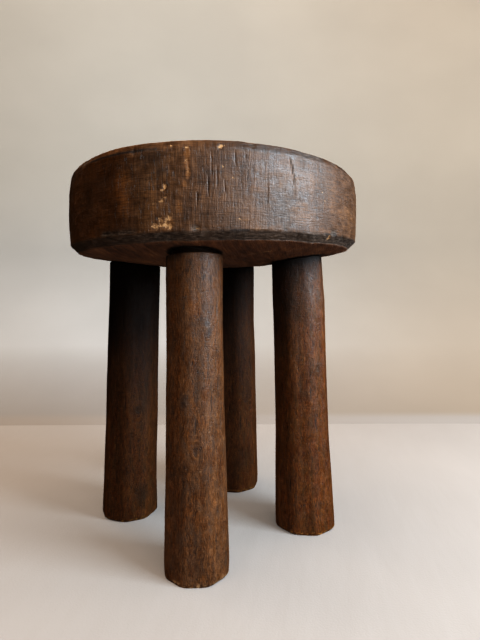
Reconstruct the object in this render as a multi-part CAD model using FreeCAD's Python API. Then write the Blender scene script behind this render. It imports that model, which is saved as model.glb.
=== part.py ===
import FreeCAD, Part
import math
import os

# Four-legged wooden milking stool, in millimetres.
# +Z is up. The origin is on the floor, below the middle of the seat.
# -Y is the front. The seat's grain runs along Y and each leg's grain runs along the leg.

V = FreeCAD.Vector

# ---- seat: a thick hand-hewn disc, slightly thinner towards the back right
SEAT_TOP_Z = 350.0            # height of the rim plane above the middle
SEAT_TOP_TILT = (-0.0125, -0.0160)     # rise per millimetre along X and along Y
SEAT_RIM_R = 131.4            # where the worn top edge meets the top
SEAT_CREASE_R = 139.6         # where the worn top edge meets the side
SEAT_CREASE_DROP = 6.8        # the crease lies this far below the rim plane
SEAT_BELLY_R = 141.2          # the side swells a little at half height
SEAT_FOOT_R = 140.3           # lower end of the side
SEAT_FOOT_Z = 284.3
SIDE_SHARES = (0.25, 0.5, 0.75)        # how far up the side its middle outlines lie
SWELL_START = 0.15            # the swelling is a part of a half wave: where it starts
SWELL_SPAN = 0.7              # and how much of the wave it takes
# How the hand-cut outline strays from a circle: waves around it, share of the radius, phase.
OUTLINE_WAVES = ((2, 0.0040, 0.9), (3, 0.0030, 2.72), (7, 0.0016, 0.4), (11, 0.0009, 2.0))
RIM_WEAR = 0.019              # the rim is worn back at three places, the first at the left front
RIM_WEAR_ANGLE = 3.78
RIM_WEAR_PLACES = 3
# The worn top edge, from the crease to the rim: shares of its width, its drop and the wear.
EDGE_WEAR = ((1.0, 1.0, 0.4), (0.62, 0.26, 0.8), (0.0, 0.0, 1.0))
CHAMFER_R = 132.5             # inner end of the hewn lower chamfer
CHAMFER_Z = 277.1
UNDER_TILT = (0.0119, 0.0068)          # rise per millimetre of the underside
DOME_SAG = 12.8               # the underside hangs this far below the chamfer's edge
DISH_R = 121.0                # edge of the shallow hollow in the top
DISH_DEPTH = 3.0
BLANK_SPARE = 6.0             # extra depth below the dome, cut away by it

# ---- legs: name, foot (x, y), top (x, y) at LEG_TOP_Z, radii up the leg, facet phase
LEG_TOP_Z = 268.0
LEG_HEIGHTS = (0.0, 68.0, 136.0, 204.0)      # and the last radius is under the seat
LEGS = (
    ("front", (1.6, -100.8), (2.1, -97.7), (27.6, 26.7, 24.7, 23.5, 23.5), 0.20),
    ("left", (-97.2, 1.0), (-85.8, -0.4), (28.3, 27.5, 26.6, 26.0, 25.8), 0.55),
    ("right", (93.2, -1.6), (84.3, -2.9), (29.2, 27.0, 25.3, 24.8, 24.4), 0.05),
    ("back", (4.0, 90.5), (5.6, 79.6), (29.6, 28.1, 26.1, 24.3, 23.6), 0.75),
)
LEG_FACETS = 8                # hewn flats around a leg
FOOT_FACET = 0.022            # how strongly the flats show at the foot
SHOULDER_FACET = 0.007        # and at the seat
LEG_OVAL = 0.008              # how far each leg's outline is from round
LEG_OVAL_TURN = 5.0           # its direction, in facet phases
# Worn edges, as (height above the floor or depth below the seat, inset) pairs.
FOOT_WEAR = ((0.0, 2.0), (0.7, 0.8), (2.4, 0.0))
SHOULDER_WEAR = ((5.0, 0.0), (2.4, 0.7), (0.8, 2.0), (-4.0, 3.4))

# ---- joinery: a round tenon through the seat, spread by a wedge in a saw kerf
TENON_R = 18.0
SOCKET_GAP = 0.05
KERF_DEPTH = 44.0
KERF_TOP = 5.0
KERF_BOTTOM = 1.2
WEDGE_GAP = 0.03
ROD_LOW = 240.0               # the tenon's rod runs between these heights before it is trimmed
ROD_HIGH = 370.0
PRISM_HALF = 30.0             # half the length of the kerf's prism, more than the tenon's radius
PRISM_RISE = 12.0             # the prism goes on this far above the seat's top

# ---- worked out: the large sphere whose lowest cap is the seat's underside
DOME_R = (CHAMFER_R ** 2 + DOME_SAG ** 2) / (2.0 * DOME_SAG)
DOME_UP = DOME_R - DOME_SAG
DOME_CENTRE = V(-UNDER_TILT[0] * DOME_UP, -UNDER_TILT[1] * DOME_UP, CHAMFER_Z + DOME_UP)
SEAT_CURVE_POINTS = 56
LEG_CURVE_POINTS = 40


def closed_curve(points):
    """A smooth closed wire through the points."""
    curve = Part.BSplineCurve()
    curve.interpolate(points, PeriodicFlag=True)
    return Part.Wire([curve.toShape()])


def seat_outline(angle):
    """How far the hand-cut outline strays from a circle, as a factor."""
    stray = 0.0
    for waves, size, phase in OUTLINE_WAVES:
        stray += size * math.cos(waves * angle + phase)
    return 1.0 + stray


def seat_section(radius, z, tilt, wear=0.0):
    """One closed outline of the seat, on a plane that may lean a little."""
    points = []
    for k in range(SEAT_CURVE_POINTS):
        angle = 2.0 * math.pi * k / SEAT_CURVE_POINTS
        worn = wear * math.cos(RIM_WEAR_PLACES * (angle - RIM_WEAR_ANGLE))
        r = radius * (seat_outline(angle) - worn)
        x = r * math.cos(angle)
        y = r * math.sin(angle)
        points.append(V(x, y, z + tilt[0] * x + tilt[1] * y))
    return closed_curve(points)


def between(low, high, share):
    """The plane tilt a given share of the way from one tilt to the other."""
    return (low[0] + (high[0] - low[0]) * share, low[1] + (high[1] - low[1]) * share)


def sphere_at(centre, radius):
    """A large sphere, used to hollow the top and to round the underside."""
    return Part.makeSphere(radius, centre, V(0, 0, 1), -90, 90, 360)


def make_seat_blank():
    """The seat before its sockets are bored."""
    side_height = SEAT_TOP_Z - SEAT_CREASE_DROP - SEAT_FOOT_Z
    slope = (SEAT_FOOT_R - CHAMFER_R) / (SEAT_FOOT_Z - CHAMFER_Z)
    below = DOME_SAG + BLANK_SPARE
    sections = [
        seat_section(CHAMFER_R - slope * below, CHAMFER_Z - below, UNDER_TILT),
        seat_section(SEAT_FOOT_R, SEAT_FOOT_Z, UNDER_TILT),
    ]
    for share in SIDE_SHARES:
        swell = math.sin(math.pi * (SWELL_START + SWELL_SPAN * share))
        low_r = SEAT_FOOT_R + (SEAT_CREASE_R - SEAT_FOOT_R) * share
        radius = low_r + (SEAT_BELLY_R - low_r) * swell
        tilt = between(UNDER_TILT, SEAT_TOP_TILT, share)
        sections.append(seat_section(radius, SEAT_FOOT_Z + side_height * share, tilt))
    for out, down, wear in EDGE_WEAR:
        radius = SEAT_RIM_R + out * (SEAT_CREASE_R - SEAT_RIM_R)
        z = SEAT_TOP_Z - down * SEAT_CREASE_DROP
        sections.append(seat_section(radius, z, SEAT_TOP_TILT, wear * RIM_WEAR))
    blank = Part.makeLoft(sections, True, True)

    blank = blank.common(sphere_at(DOME_CENTRE, DOME_R))

    dish_r = (DISH_R ** 2 + DISH_DEPTH ** 2) / (2.0 * DISH_DEPTH)
    up = dish_r - DISH_DEPTH
    dish_centre = V(-SEAT_TOP_TILT[0] * up, -SEAT_TOP_TILT[1] * up, SEAT_TOP_Z + up)
    return blank.cut(sphere_at(dish_centre, dish_r))


def leg_section(centre, radius, slope, facet, phase):
    """One closed outline of a leg: a soft octagon, on a plane that may lean."""
    points = []
    for k in range(LEG_CURVE_POINTS):
        angle = 2.0 * math.pi * k / LEG_CURVE_POINTS
        r = radius * (1.0 - facet * math.cos(LEG_FACETS * (angle - phase)))
        r *= 1.0 + LEG_OVAL * math.cos(2.0 * angle + LEG_OVAL_TURN * phase)
        x = r * math.cos(angle)
        y = r * math.sin(angle)
        points.append(centre + V(x, y, slope[0] * x + slope[1] * y))
    return closed_curve(points)


def under_height(x, y):
    """Height and slope of the seat's rounded underside."""
    away = V(x, y, 0.0) - V(DOME_CENTRE.x, DOME_CENTRE.y, 0.0)
    drop = math.sqrt(DOME_R ** 2 - away.Length ** 2)
    return DOME_CENTRE.z - drop, (away.x / drop, away.y / drop)


def make_leg_body(foot, top, radii, phase):
    """The leg below the seat, with worn edges, before its top is cut to the underside."""
    joint = point_on_leg(foot, top, LEG_TOP_Z)
    joint_z, slope = under_height(joint.x, joint.y)
    flat = (0.0, 0.0)

    def section(z, radius, plane):
        facet = FOOT_FACET + (SHOULDER_FACET - FOOT_FACET) * min(1.0, z / LEG_TOP_Z)
        return leg_section(point_on_leg(foot, top, z), radius, plane, facet, phase)

    foot_ring = []
    for up, inset in FOOT_WEAR:
        foot_ring.append(section(up, radii[0] - inset, flat))
    shaft = [foot_ring[-1]]
    for z, radius in zip(LEG_HEIGHTS[1:], radii[1:-1]):
        shaft.append(section(z, radius, flat))
    top_ring = []
    for down, inset in SHOULDER_WEAR:
        top_ring.append(section(joint_z - down, radii[-1] - inset, slope))
    shaft.append(top_ring[0])
    body = Part.makeLoft(foot_ring, True, True)
    body = body.fuse(Part.makeLoft(shaft, True, False))
    return body.fuse(Part.makeLoft(top_ring, True, True))


def leg_direction(foot, top):
    """The unit vector up the middle of a leg."""
    line = V(top[0] - foot[0], top[1] - foot[1], LEG_TOP_Z)
    return line.normalize()


def point_on_leg(foot, top, z):
    """The middle of a leg, or of its tenon, at a height."""
    share = z / LEG_TOP_Z
    return V(foot[0] + (top[0] - foot[0]) * share, foot[1] + (top[1] - foot[1]) * share, z)


def leg_rod(foot, top, radius, low, high):
    """A cylinder around the leg's own line, between two heights."""
    start = point_on_leg(foot, top, low)
    end = point_on_leg(foot, top, high)
    return Part.makeCylinder(radius, (end - start).Length, start, leg_direction(foot, top))


def wedge_prism(foot, top, surface_z, shrink):
    """The wedge-shaped slot, wide at the top, lying along X across the seat's grain."""
    grow = (KERF_TOP - KERF_BOTTOM) / KERF_DEPTH
    half_low = KERF_BOTTOM / 2.0 - shrink
    half_high = (KERF_TOP + grow * PRISM_RISE) / 2.0 - shrink
    corners = [
        V(-PRISM_HALF, -half_low, shrink),
        V(-PRISM_HALF, half_low, shrink),
        V(-PRISM_HALF, half_high, KERF_DEPTH + PRISM_RISE),
        V(-PRISM_HALF, -half_high, KERF_DEPTH + PRISM_RISE),
    ]
    end = Part.Face(Part.makePolygon(corners + corners[:1]))
    prism = end.extrude(V(2.0 * PRISM_HALF, 0.0, 0.0))
    turn = FreeCAD.Rotation(V(0, 0, 1), leg_direction(foot, top))
    prism.Placement = FreeCAD.Placement(point_on_leg(foot, top, surface_z - KERF_DEPTH), turn)
    return prism


def dish_height(x, y):
    """Height of the hollowed top of the seat."""
    fall = DISH_DEPTH * (1.0 - (x * x + y * y) / DISH_R ** 2)
    return SEAT_TOP_Z + SEAT_TOP_TILT[0] * x + SEAT_TOP_TILT[1] * y - max(0.0, fall)


def only_solid(shape):
    """The shape's one solid, without leftover seams."""
    if len(shape.Solids) != 1:
        raise RuntimeError("expected one solid, found %d" % len(shape.Solids))
    solid = shape.Solids[0]
    if not solid.isValid():
        raise RuntimeError("solid is not valid")
    return solid


def save(shape, name):
    """Write one piece as its own STEP file."""
    only_solid(shape).exportStep(os.path.join("parts", name + ".step"))


def main():
    os.makedirs("parts", exist_ok=True)
    blank = make_seat_blank()
    seat = blank
    for name, foot, top, radii, phase in LEGS:
        at_top = point_on_leg(foot, top, SEAT_TOP_Z)
        surface_z = dish_height(at_top.x, at_top.y)

        body = make_leg_body(foot, top, radii, phase).cut(blank)
        tenon = leg_rod(foot, top, TENON_R, ROD_LOW, ROD_HIGH).common(blank)
        leg = body.fuse(tenon).cut(wedge_prism(foot, top, surface_z, 0.0))
        wedge = wedge_prism(foot, top, surface_z, WEDGE_GAP).common(tenon)
        seat = seat.cut(leg_rod(foot, top, TENON_R + SOCKET_GAP, ROD_LOW, ROD_HIGH))

        save(leg, "leg_" + name)
        save(wedge, "wedge_" + name)
    save(seat, "seat")


main()
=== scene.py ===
import math

import bmesh
import bpy
import numpy as np
from mathutils import Matrix, Vector
from mathutils.bvhtree import BVHTree


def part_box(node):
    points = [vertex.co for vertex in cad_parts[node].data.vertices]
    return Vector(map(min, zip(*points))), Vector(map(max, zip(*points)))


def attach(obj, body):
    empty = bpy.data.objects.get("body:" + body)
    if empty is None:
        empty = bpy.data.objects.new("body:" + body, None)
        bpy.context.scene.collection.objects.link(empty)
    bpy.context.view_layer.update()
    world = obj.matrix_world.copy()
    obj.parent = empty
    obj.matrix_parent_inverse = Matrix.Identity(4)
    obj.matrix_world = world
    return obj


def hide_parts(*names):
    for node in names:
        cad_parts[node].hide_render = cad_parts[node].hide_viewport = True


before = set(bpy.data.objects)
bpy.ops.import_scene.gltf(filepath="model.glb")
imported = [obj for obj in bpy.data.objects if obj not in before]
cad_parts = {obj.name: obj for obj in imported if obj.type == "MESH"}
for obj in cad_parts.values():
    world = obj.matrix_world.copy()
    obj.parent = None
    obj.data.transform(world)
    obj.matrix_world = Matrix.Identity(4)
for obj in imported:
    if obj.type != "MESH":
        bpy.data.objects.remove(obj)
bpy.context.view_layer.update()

# The looks of a hand-hewn wooden milking stool: a thick round seat on four socketed legs.
# Lengths are in metres unless a comment says mm. Angles round a piece are in degrees,
# 0 towards +X and -90 towards the front leg.

MM = 0.001
FULL_TURN = 2.0 * math.pi
LEG_NAMES = ("front", "left", "right", "back")
CLEAR = 0.05                  # how far outside the stool a ray starts

# ---- the seat's sizes
SEAT_COLUMNS = 896            # upright lines of points round the wall, closer at the front
FRONT_CROWDING = 0.34
TOP_ABOVE = 0.32              # no point of the underside is this high
HOLLOW_R = 0.115              # the part of the top that its hollow is fitted to
RIM_READ = 0.905              # where the top's height is read, as a share of the seat's radius
RIM_SHARE = 0.935             # where the rim and the underside's edge lie
UNDER_SHARE = 0.938
RIM_INSET = 0.12 * MM         # from the rim and the underside's edge to the wall's end rings
UNDER_INSET = 0.15 * MM
CREASE_DROP = 6.8 * MM        # from the rim down to the crease of the worn top edge
CHAMFER_RISE = 7.2 * MM       # from the underside's edge up to the foot of the side
EDGE_RINGS = 9                # rings over the worn edge, down the side and over the chamfer
SIDE_RINGS = 44
CHAMFER_RINGS = 9
# Towards the middle of the top and underside: one point to so many columns, inner end, rings.
THINNING = ((2, 0.50, 34), (4, 0.25, 18), (8, 0.015, 17))
CHECK_HALF = 0.20 * MM        # half the width of a drying check in the side
RECESS_DEPTH = 2.2 * MM       # the shallow seat around each tenon's end
TENON_R = 18.0 * MM
SEAM = 0.35 * MM              # the shrinkage gap around a tenon's end
MOUTH_R = TENON_R + SEAM
MOUTH_REACH = 0.62 * MM       # points this near a socket's mouth are drawn onto it

# ---- the legs' sizes
LEG_COLUMNS = 192
FOOT_SLICE = (0.0, 0.004)     # the heights between which a leg's two ends are found
TOP_SLICE = (0.255, 0.264)
LEG_RAY = 0.06                # how far out from a leg's line a ray starts
FIRST_R = 25.0 * MM           # a leg's radius until its own is read
END_ABOVE = 0.33              # only the tenons' ends are this high
LEG_RING_STEP = 1.15 * MM
MEAN_R = 26.0 * MM            # a leg's usual radius, for marks that go all round it
NECK_R = 19.0 * MM            # the leg just under the seat, behind its shoulder
SHOULDER_R = 24.0 * MM        # where the seat's underside is read for the shoulder
SHOULDER_DEPTH = 1.2 * MM
SHOULDER_SKEW = 14.0 * MM     # over this height the leg's rings tilt to meet the seat
SHAFT_TOP = 256.0 * MM        # above this height the leg keeps its outline up to the seat
SOLE_SHARES = (0.12, 0.3, 0.48, 0.64, 0.78, 0.88, 0.94)
SOLE_READ = 0.9 * MM          # the height at which the foot's outline is read
SOLE_TOP = 0.3 * MM
TENON_PROUD = 0.35 * MM
KERF_HALF = 2.45 * MM
KERF_DEPTH = 3.0 * MM
SKEW_RINGS = 15               # rings that tilt, round the shoulder, up the tenon, on its end
SHOULDER_RINGS = 8
TENON_RINGS = 12
END_RINGS = 27
LEG_CHECKS = 46               # drying checks in each leg
# Least and most of their angle, and of their height, length, width and depth in mm.
LEG_CHECK_RANGES = ((-180.0, 180.0), (4.0, 245.0), (5.0, 24.0), (0.28, 0.5), (0.2, 0.7))
END_CHECKS = 9                # checks that run out from the middle of each tenon's end

# ---- the wedges' sizes
WEDGE_POINTS = 96
WEDGE_RINGS = 40
WEDGE_TAPER = 0.26            # the lower edge's thickness as a share of the upper edge's
WEDGE_SQUARENESS = 0.22       # 1 would be an oval, and 0 a rectangle
WEDGE_GAP = 0.9 * MM          # from the wedge's ends to the tenon's side
WEDGE_PROUD = 0.25 * MM       # above the tenon's end
WEDGE_INSETS = (0.985, 0.93, 0.84, 0.72, 0.58, 0.42, 0.25, 0.1)

# ---- the camera, in front and a little to the right
CAMERA_PLACE = (0.0976, -0.4918, 0.2372)
CAMERA_TURN = 8.3             # degrees to the left of straight back
CAMERA_PITCH = -3.163
CAMERA_ROLL = 0.263
CAMERA_LENS = 27.05           # for a 36 mm long side


# ---- repeatable smooth noise

def hashed(ix, iy, iz, seed):
    """A repeatable number from 0 to 1 for each whole-number lattice point."""
    n = (ix * 73856093) ^ (iy * 19349663) ^ (iz * 83492791) ^ (seed * 7919 + 101)
    n &= 0xFFFFFFFF
    n = ((n ^ (n >> 15)) * 739981) & 0xFFFFFFFF
    n = ((n ^ (n >> 13)) * 1274129) & 0xFFFFFFFF
    return ((n ^ (n >> 16)) & 0xFFFFFF) / float(0xFFFFFF)


def noise(points, size_mm, seed, octaves=1):
    """Smooth noise from -1 to 1. size_mm is the size of its features along X, Y and Z."""
    total = np.zeros(len(points))
    weight, weights = 1.0, 0.0
    q = points / (np.asarray(size_mm, float) * MM)
    for octave in range(octaves):
        cell = np.floor(q).astype(np.int64)
        f = q - cell
        f = f * f * (3.0 - 2.0 * f)
        value = np.zeros(len(points))
        for corner in range(8):
            step = (corner & 1, (corner >> 1) & 1, corner >> 2)
            share = 1.0
            for axis in range(3):
                share = share * (f[:, axis] if step[axis] else 1.0 - f[:, axis])
            value += share * hashed(*(cell + step).T, seed + 17 * octave)
        total += weight * (2.0 * value - 1.0)
        weights += weight
        weight *= 0.5
        q = q * 2.03 + 5.7
    return total / weights


# Tool marks: width and length, depth in mm, the value that leaves the surface alone, and seed.
TOOL_MARKS = {
    "stroke": (0.021, 0.052, 0.40, 0.35, 7),
    "chop": (0.026, 0.050, 1.0, 0.45, 13),
    "scrape": (0.019, 0.060, 0.20, 0.4, 23),
    "gouge": (0.024, 0.046, 1.15, 0.4, 25),
    "flat": (0.0185, 0.085, 0.95, 0.38, 2),
    "foot": (0.0215, 1.0, 0.6, 0.75, 6),
}


def scoops(kind, u, v, round_u=None, seed=0):
    """Overlapping shallow scoops with low ridges between them, from 0 to about 1. u and v are
    surface lengths. round_u is the length after which u closes."""
    cell_u, cell_v, _, _, own_seed = TOOL_MARKS[kind]
    count = max(3, int(round(round_u / cell_u))) if round_u else 0
    a = u / (round_u / count if round_u else cell_u)
    b = v / cell_v
    ia, ib = (np.floor(v).astype(np.int64) for v in (a, b))
    best = np.full(len(u), 9.0)
    for da in (-1, 0, 1):
        for db in (-1, 0, 1):
            ca, cb = ia + da, ib + db
            key = ca % count if count else ca
            ja, jb, deep = (hashed(key, cb, cb * 0 + k, seed + own_seed) for k in (1, 2, 3))
            away = (a - ca - 0.15 - 0.7 * ja) ** 2 + (b - cb - 0.15 - 0.7 * jb) ** 2
            best = np.minimum(best, away + 0.35 * deep)
    return np.minimum(best, 1.2)


def scooped(kind, marks):
    """How far the scoops move the surface outwards."""
    deep, level = TOOL_MARKS[kind][2:4]
    return deep * MM * (marks - level)


def bump_at(distance, width):
    """1 at no distance, falling smoothly to 0 over about twice the width."""
    return np.exp(-((distance / width) ** 2))


def smooth_step(low, high, value):
    """0 below low, 1 above high and smooth between. low may be the larger."""
    t = np.clip((value - low) / (high - low), 0.0, 1.0)
    return t * t * (3.0 - 2.0 * t)


def tapered(along):
    """1 halfway along a check, falling to 0 at its ends, which are at 0 and 1."""
    return np.sqrt(np.clip(along, 0.0, 1.0) * np.clip(1.0 - along, 0.0, 1.0) * 4.0)


def turn_gap(angle, other):
    """The signed difference between angles in degrees, from -180 to 180."""
    return (angle - other + 180.0) % 360.0 - 180.0


def turned(x, y, angle):
    """x and y turned by an angle in radians."""
    return x * np.cos(angle) - y * np.sin(angle), x * np.sin(angle) + y * np.cos(angle)


# ---- reading the CAD shape

def tree_of(*nodes):
    """A search tree over the CAD nodes' triangles."""
    points, faces = [], []
    for node in nodes:
        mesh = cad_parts[node].data
        base = len(points)
        points.extend(v.co.copy() for v in mesh.vertices)
        faces.extend([base + i for i in p.vertices] for p in mesh.polygons)
    return BVHTree.FromPolygons(points, faces)


def cast(tree, origins, directions):
    """Where each ray first meets the tree, or NaN where it misses."""
    hits = np.full((len(origins), 3), np.nan)
    for k, (origin, direction) in enumerate(zip(origins, directions)):
        place = tree.ray_cast(Vector(origin), Vector(direction))[0]
        if place is not None:
            hits[k] = place
    return hits


def fit_surface(points):
    """Heights over x and y as a plane plus a bowl, fitted to the points."""
    x, y = points[:, 0], points[:, 1]
    table = np.stack([np.ones(len(x)), x, y, x * x + y * y, (x * x + y * y) ** 2], 1)
    return np.linalg.lstsq(table, points[:, 2], rcond=None)[0]


def height_on(fit, x, y):
    """The fitted surface's height."""
    square = x * x + y * y
    return fit[0] + fit[1] * x + fit[2] * y + fit[3] * square + fit[4] * square * square


seat_low, seat_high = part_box("seat")
SEAT_R = (seat_high.x - seat_low.x) / 2.0
SEAT_TREE = tree_of("seat")
TOP_TREE = tree_of("seat", *["leg_" + n for n in LEG_NAMES], *["wedge_" + n for n in LEG_NAMES])


def look_down(points):
    """Where plumb lines through the points first meet the stool's top."""
    start = points.copy()
    start[:, 2] = seat_high.z + CLEAR
    return cast(TOP_TREE, start, [(0.0, 0.0, -1.0)] * len(start))


def sample_disc(tree, up):
    """Points on the seat's top (up = -1 casts down) or underside (up = 1), clear of its edge."""
    origins = []
    for radius in np.linspace(0.05, 0.9, 14) * SEAT_R:
        for angle in np.linspace(0.0, FULL_TURN, 40, endpoint=False):
            start = seat_low.z - CLEAR if up > 0 else seat_high.z + CLEAR
            origins.append((radius * math.cos(angle), radius * math.sin(angle), start))
    hits = cast(tree, origins, [(0.0, 0.0, up)] * len(origins))
    hits = hits[~np.isnan(hits[:, 2])]
    middle = (seat_low.z + seat_high.z) / 2.0
    return hits[(hits[:, 2] - middle) * up < 0.0]


def fit_top():
    """The hollowed top as a fitted surface, from its points well inside the worn edge."""
    hits = sample_disc(TOP_TREE, -1.0)
    return fit_surface(hits[np.hypot(hits[:, 0], hits[:, 1]) < HOLLOW_R])


def directions(angles):
    """Level unit vectors at the angles, in radians."""
    return np.stack([np.cos(angles), np.sin(angles), np.zeros(len(angles))], 1)


def rim_plane(angles):
    """The plane of the rim, as height at the middle and rise along X and Y."""
    rim = look_down(directions(angles) * SEAT_R * RIM_READ)
    table = np.stack([np.ones(len(rim)), rim[:, 0], rim[:, 1]], 1)
    return np.linalg.lstsq(table, rim[:, 2], rcond=None)[0]


UNDER_FIT = fit_surface(sample_disc(SEAT_TREE, 1.0))
TOP_FIT = fit_top()
RIM_PLANE = rim_plane(np.linspace(0.0, FULL_TURN, 120, endpoint=False))


class Leg:
    """Where one CAD leg stands: its foot, its line, and its search tree."""

    def __init__(self, name):
        self.name = name
        self.tree = tree_of("leg_" + name)
        co = np.array([v.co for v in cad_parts["leg_" + name].data.vertices])
        self.foot = self.middle(co, *FOOT_SLICE)
        self.top = self.middle(co, *TOP_SLICE)

    @staticmethod
    def middle(co, low, high):
        """The middle of the leg's points between two heights."""
        part = co[(co[:, 2] >= low) & (co[:, 2] <= high)]
        return (part.min(0) + part.max(0)) / 2.0

    def line(self, z):
        """x and y of the leg's middle at heights z."""
        share = (np.asarray(z, float) - self.foot[2]) / (self.top[2] - self.foot[2])
        x, y = (self.foot[k] + (self.top[k] - self.foot[k]) * share for k in (0, 1))
        return x, y


LEGS = {name: Leg(name) for name in LEG_NAMES}


# ---- meshes from rings

def ring_faces(first, count_a, second, count_b):
    """Faces between two closed rings of points, where the second has as many or half as many."""
    faces = []
    if count_a == count_b:
        for k in range(count_a):
            n = (k + 1) % count_a
            faces.append((first + k, first + n, second + n, second + k))
        return faces
    for k in range(count_b):
        a0, a1, a2 = (first + (2 * k + n) % count_a for n in range(3))
        b0, b1 = (second + (k + n) % count_b for n in range(2))
        faces += [(a0, a1, b0), (a1, b1, b0), (a1, a2, b1)]
    return faces


def mesh_from_rings(name, rings):
    """A closed mesh through the rings, with one point closing each end."""
    points = [rings[0].mean(0)[None, :], *rings, rings[-1].mean(0)[None, :]]
    starts = [int(n) for n in np.cumsum([0] + [len(p) for p in points])]
    count = len(rings[0])
    faces = [(0, 1 + (k + 1) % count, 1 + k) for k in range(count)]
    for k in range(1, len(rings)):
        a, b = len(points[k]), len(points[k + 1])
        if b > a:
            back = ring_faces(starts[k + 1], b, starts[k], a)
            faces += [tuple(reversed(f)) for f in back]
        else:
            faces += ring_faces(starts[k], a, starts[k + 1], b)
    last, ring = starts[-2], starts[-3]
    count = len(rings[-1])
    faces += [(last, ring + k, ring + (k + 1) % count) for k in range(count)]
    mesh = bpy.data.meshes.new(name)
    mesh.from_pydata(np.vstack(points).tolist(), [], faces)
    mesh.update()
    bm = bmesh.new()
    bm.from_mesh(mesh)
    bmesh.ops.recalc_face_normals(bm, faces=bm.faces)
    bm.to_mesh(mesh)
    bm.free()
    mesh.polygons.foreach_set("use_smooth", [True] * len(mesh.polygons))
    return mesh


def read_points(mesh, kind):
    """The mesh's points ("co") or their normals ("normal")."""
    values = np.zeros(len(mesh.vertices) * 3)
    mesh.vertices.foreach_get(kind, values)
    return values.reshape(-1, 3)


def make_piece(mesh, node, material):
    """The object that stands for a CAD node."""
    mesh.materials.append(material)
    piece = bpy.data.objects.new(mesh.name, mesh)
    bpy.context.scene.collection.objects.link(piece)
    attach(piece, "root")
    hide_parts(node)


class Skin:
    """A mesh's points as they were before carving, how far each is to move outwards, and the
    numbers from 0 to 1 that the material reads."""

    def __init__(self, mesh, textures, seed=0, line=None):
        self.mesh = mesh
        self.textures = textures
        self.seed = seed
        self.co = read_points(mesh, "co")
        self.normal = read_points(mesh, "normal")
        self.up = self.normal[:, 2]
        self.z = self.co[:, 2].copy()
        self.middle = line(self.z) if line else (0.0, 0.0)
        self.x = self.co[:, 0] - self.middle[0]
        self.y = self.co[:, 1] - self.middle[1]
        self.local = np.stack([self.x, self.y, self.z], 1)
        self.r = np.hypot(self.x, self.y)
        self.theta = np.degrees(np.arctan2(self.y, self.x))
        self.depth = np.zeros(len(self.co))
        self.looks = {}

    def noise(self, name):
        """One of the piece's textures, from -1 to 1."""
        size, seed, octaves = self.textures[name]
        return noise(self.local, size, self.seed + seed, octaves)

    def where(self, name, low, high):
        """Shares from 0 to 1, as one of the textures rises from low to high."""
        return smooth_step(low, high, self.noise(name))

    def across(self, angle, radius):
        """Length in mm along the surface from an angle."""
        return np.radians(turn_gap(self.theta, angle)) * radius / MM

    def near(self, angle, height, wide, tall, radius):
        """Distance from a mark's middle, counted in its half widths and half heights in mm."""
        return np.hypot(self.across(angle, radius) / wide, (self.z / MM - height) / tall)

    def mark(self, name, values):
        """Raises one of the numbers that the material reads."""
        self.looks[name] = np.maximum(self.looks.get(name, 0.0), values)

    def finish(self):
        """Moves the points, none below the floor, and stores the material's numbers."""
        moved = self.co + self.normal * self.depth[:, None]
        moved[:, 2] = np.maximum(moved[:, 2], 0.0)
        self.mesh.vertices.foreach_set("co", moved.ravel())
        self.mesh.update()
        for name, values in self.looks.items():
            layer = self.mesh.attributes.new(name, "FLOAT", "POINT")
            layer.data.foreach_set("value", np.clip(values, 0.0, 1.0).astype(np.float32))
        return self.mesh


# ---- building the seat

# Drying checks in the seat's side: angle, upper and lower height and depth in mm.
SIDE_CHECKS = (
    (-79.6, 340, 325, 0.7), (-80.7, 324, 309.5, 1.5), (-84.4, 312, 303, 1.6),
    (-75.8, 321, 312, 1.0), (-77.9, 333, 314, 0.5), (-62.1, 323, 303, 0.6),
    (-54.4, 342, 335, 0.9), (-53.8, 337, 328, 1.2), (-53.1, 330, 320, 0.8),
    (-52.6, 322, 308, 0.3), (-72.4, 343, 333, 1.0), (-69.3, 342, 335, 0.4),
    (-66.5, 311, 296, 0.2), (-49.0, 344, 334, 0.3), (-86.9, 338, 330, 0.4),
    (-83.0, 298, 288, 0.3), (-92.6, 334, 326, 0.5), (-97.8, 300, 289, 0.3),
    (-117.0, 336, 318, 0.4), (-130.0, 322, 303, 0.5), (84.0, 341, 305, 2.0),
    (92.5, 330, 290, 1.6), (71.0, 325, 300, 1.2), (103.0, 338, 316, 1.2),
    (58.0, 318, 298, 0.8), (112.0, 312, 294, 1.0),
)

# Checks across the top, along the grain: x, start y, end y, width and depth in mm.
TOP_CHECKS = (
    (6, -52, 34, 0.55, 1.6), (-27, 8, 92, 0.50, 1.4), (38, -88, -18, 0.50, 1.3),
    (-55, -60, -12, 0.45, 1.0), (58, 12, 66, 0.45, 1.1), (19, 60, 124, 0.60, 1.9),
    (-12, -126, -84, 0.55, 1.6),
)

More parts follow.
